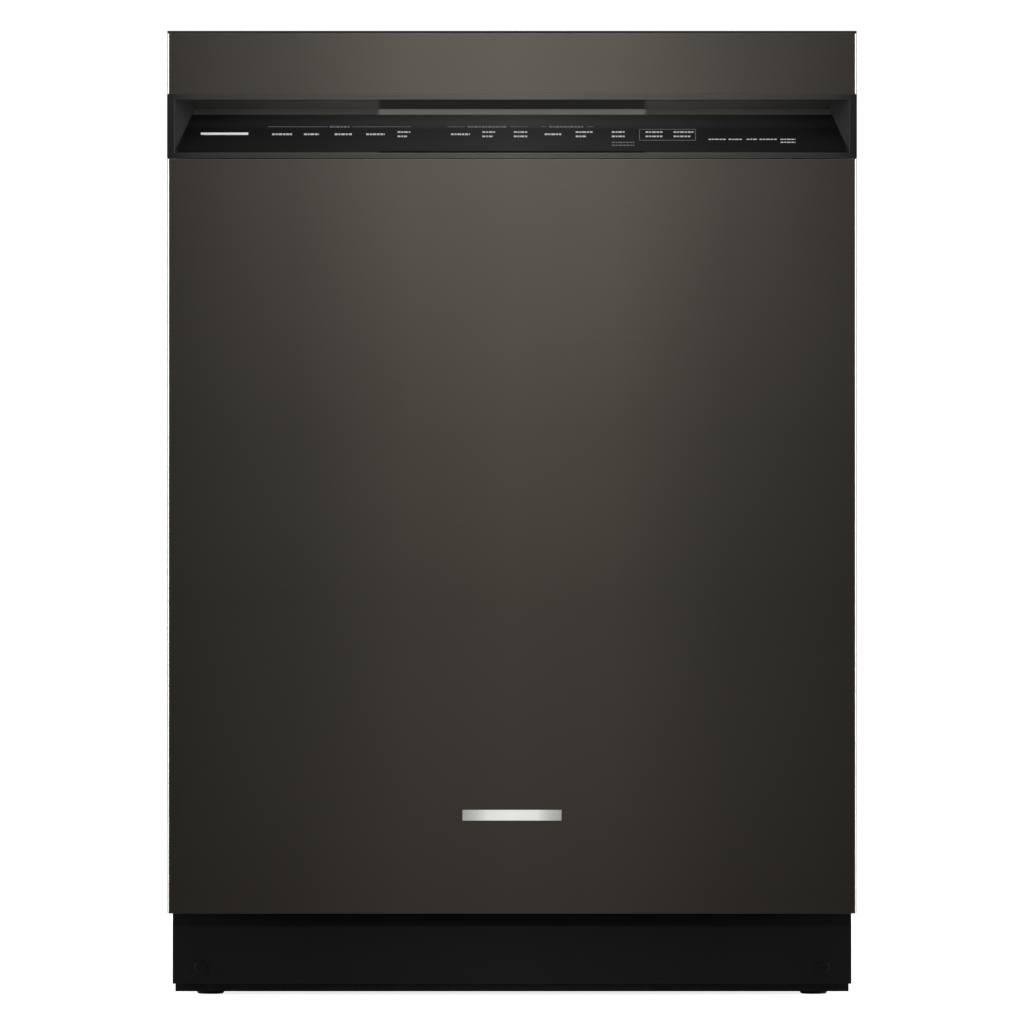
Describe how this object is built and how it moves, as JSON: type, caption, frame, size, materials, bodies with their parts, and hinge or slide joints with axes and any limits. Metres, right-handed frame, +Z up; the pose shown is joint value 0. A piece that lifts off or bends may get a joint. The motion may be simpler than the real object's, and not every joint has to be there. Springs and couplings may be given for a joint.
{
  "type": "built-in dishwasher",
  "caption": "Built-in front-loading dishwasher with a flat dark metal door, a recessed sloping touch panel above it, a finger slot, a toe panel, pull-out racks and spray arms.",
  "frame": {"origin": "on the floor, under the middle of the machine's width and depth", "axes": "+Z up, front of the door faces -Y, +X to the right seen from the front"},
  "size_m": [0.6064, 0.622, 0.851],
  "materials": {
    "black_stainless": "fine vertical-faded brushed grain under a dark warm coat, satin",
    "badge_metal": "satin, blank",
    "console_paint": "dark taupe metallic, satin",
    "touch_glass": "high gloss",
    "black_plastic": "fine matte",
    "tub_steel": "satin stainless",
    "filter_steel": "fine, slightly darkened",
    "galvanised_steel": "zinc coated, dull",
    "spring_steel": "plated",
    "grey_plastic": "moulded",
    "white_plastic": "moulded",
    "blue_plastic": "moulded",
    "motor_black": "satin",
    "rack_vinyl": "vinyl coat",
    "seal_rubber": "soft",
    "felt": "needled felt"
  },
  "bodies": {
    "cabinet": {"tub_wrapper": "tub_steel", "tub_back_panel": "tub_steel", "tub_floor_pan": "grey_plastic", "tub_front_frame": "tub_steel", "tub_gasket": "seal_rubber", "insulation_blanket": "felt", "base_side_rails": "galvanised_steel", "base_crossmembers": "galvanised_steel", "toe_panel": "black_plastic", "access_panel": "black_plastic", "toe_panel_screws": "spring_steel", "hinge_brackets": "galvanised_steel", "door_springs": "spring_steel", "spring_links": "spring_steel", "sump_housing": "grey_plastic", "coarse_filter": "filter_steel", "wash_pump": "motor_black", "drain_pump": "white_plastic", "heating_element": "filter_steel", "water_inlet_valve": "white_plastic", "junction_box": "galvanised_steel", "junction_box_cover": "black_plastic", "spray_feed_tube": "grey_plastic", "top_sprayer": "grey_plastic", "strike_plate": "filter_steel", "mounting_brackets": "galvanised_steel", "outer_rails": "tub_steel"},
    "door": {"door_outer_panel": "black_stainless", "door_top_panel": "black_stainless", "door_top_trim": "black_plastic", "console_housing": "console_paint", "control_fascia": "touch_glass", "handle_pocket": "black_plastic", "door_inner_panel": "tub_steel", "door_insulation": "felt", "control_module": "motor_black", "door_latch": "black_plastic", "detergent_dispenser": "grey_plastic", "door_vent": "grey_plastic", "hinge_arms": "galvanised_steel", "door_bottom_seal": "seal_rubber", "door_screws": "spring_steel", "badge_plate": "badge_metal"},
    "detergent_lid": {"detergent_lid": "grey_plastic"},
    "rinse_aid_cap": {"rinse_aid_cap": "blue_plastic"},
    "mid_rails": {"mid_rails": "tub_steel"},
    "upper_rack": {"upper_rack": "rack_vinyl", "rack_rails": "tub_steel", "rack_feed_pipe": "grey_plastic"},
    "middle_spray_arm": {"middle_spray_arm": "grey_plastic"},
    "lower_rack": {"lower_rack": "rack_vinyl", "lower_rack_wheels": "grey_plastic"},
    "silverware_basket": {"silverware_basket": "grey_plastic"},
    "lower_spray_arm": {"lower_spray_arm": "grey_plastic"},
    "filter_cup": {"filter_cup": "grey_plastic"},
    "overfill_float": {"overfill_float": "white_plastic"},
    "front_left_leg": {"front_left_leg": "galvanised_steel"},
    "front_right_leg": {"front_right_leg": "galvanised_steel"},
    "rear_left_leg": {"rear_left_leg": "galvanised_steel"},
    "rear_right_leg": {"rear_right_leg": "galvanised_steel"}
  },
  "joints": [
    {"name": "door_hinge", "type": "hinge", "parent": "cabinet", "child": "door", "pos_m": [0, -0.279, 0.105], "axis": [1, 0, 0], "range_deg": [0, 90], "deforming": ["door_springs", "spring_links"]},
    {"name": "detergent_lid_hinge", "type": "hinge", "parent": "door", "child": "detergent_lid", "pos_m": [-0.02, -0.2543, 0.4], "axis": [-1, 0, 0], "range_deg": [0, 100]},
    {"name": "rinse_aid_cap_turn", "type": "hinge", "parent": "door", "child": "rinse_aid_cap", "pos_m": [0.05, -0.2545, 0.487], "axis": [0, 1, 0], "range_deg": [0, 90]},
    {"name": "mid_rail_slide", "type": "slide", "parent": "cabinet", "child": "mid_rails", "axis": [0, -1, 0], "range_m": [0, 0.2105]},
    {"name": "upper_rack_slide", "type": "slide", "parent": "cabinet", "child": "upper_rack", "axis": [0, -1, 0], "range_m": [0, 0.4205]},
    {"name": "middle_spray_arm_spin", "type": "hinge", "parent": "upper_rack", "child": "middle_spray_arm", "pos_m": [0, 0, 0.483], "axis": [0, 0, 1], "continuous": true},
    {"name": "lower_rack_slide", "type": "slide", "parent": "cabinet", "child": "lower_rack", "axis": [0, -1, 0], "range_m": [0, 0.1255]},
    {"name": "silverware_basket_lift", "type": "slide", "parent": "lower_rack", "child": "silverware_basket", "axis": [0, 0, 1], "range_m": [0, 0.12]},
    {"name": "lower_spray_arm_spin", "type": "hinge", "parent": "cabinet", "child": "lower_spray_arm", "pos_m": [0, 0.03, 0.14], "axis": [0, 0, 1], "continuous": true},
    {"name": "filter_cup_turn", "type": "hinge", "parent": "cabinet", "child": "filter_cup", "pos_m": [0, -0.07, 0.1], "axis": [0, 0, 1], "range_deg": [0, 90]},
    {"name": "overfill_float_rise", "type": "slide", "parent": "cabinet", "child": "overfill_float", "axis": [0, 0, 1], "range_m": [0, 0.01]},
    {"name": "front_left_leg_screw", "type": "slide", "parent": "cabinet", "child": "front_left_leg", "axis": [0, 0, -1], "range_m": [0, 0.03]},
    {"name": "front_right_leg_screw", "type": "slide", "parent": "cabinet", "child": "front_right_leg", "axis": [0, 0, -1], "range_m": [0, 0.03]},
    {"name": "rear_left_leg_screw", "type": "slide", "parent": "cabinet", "child": "rear_left_leg", "axis": [0, 0, -1], "range_m": [0, 0.03]},
    {"name": "rear_right_leg_screw", "type": "slide", "parent": "cabinet", "child": "rear_right_leg", "axis": [0, 0, -1], "range_m": [0, 0.03]}
  ],
  "couplings": [
    {"joint": "mid_rail_slide", "follows": "door_hinge", "m_per_rad": 0.13369},
    {"joint": "upper_rack_slide", "follows": "door_hinge", "m_per_rad": 0.26738},
    {"joint": "lower_rack_slide", "follows": "door_hinge", "m_per_rad": 0.079577}
  ]
}
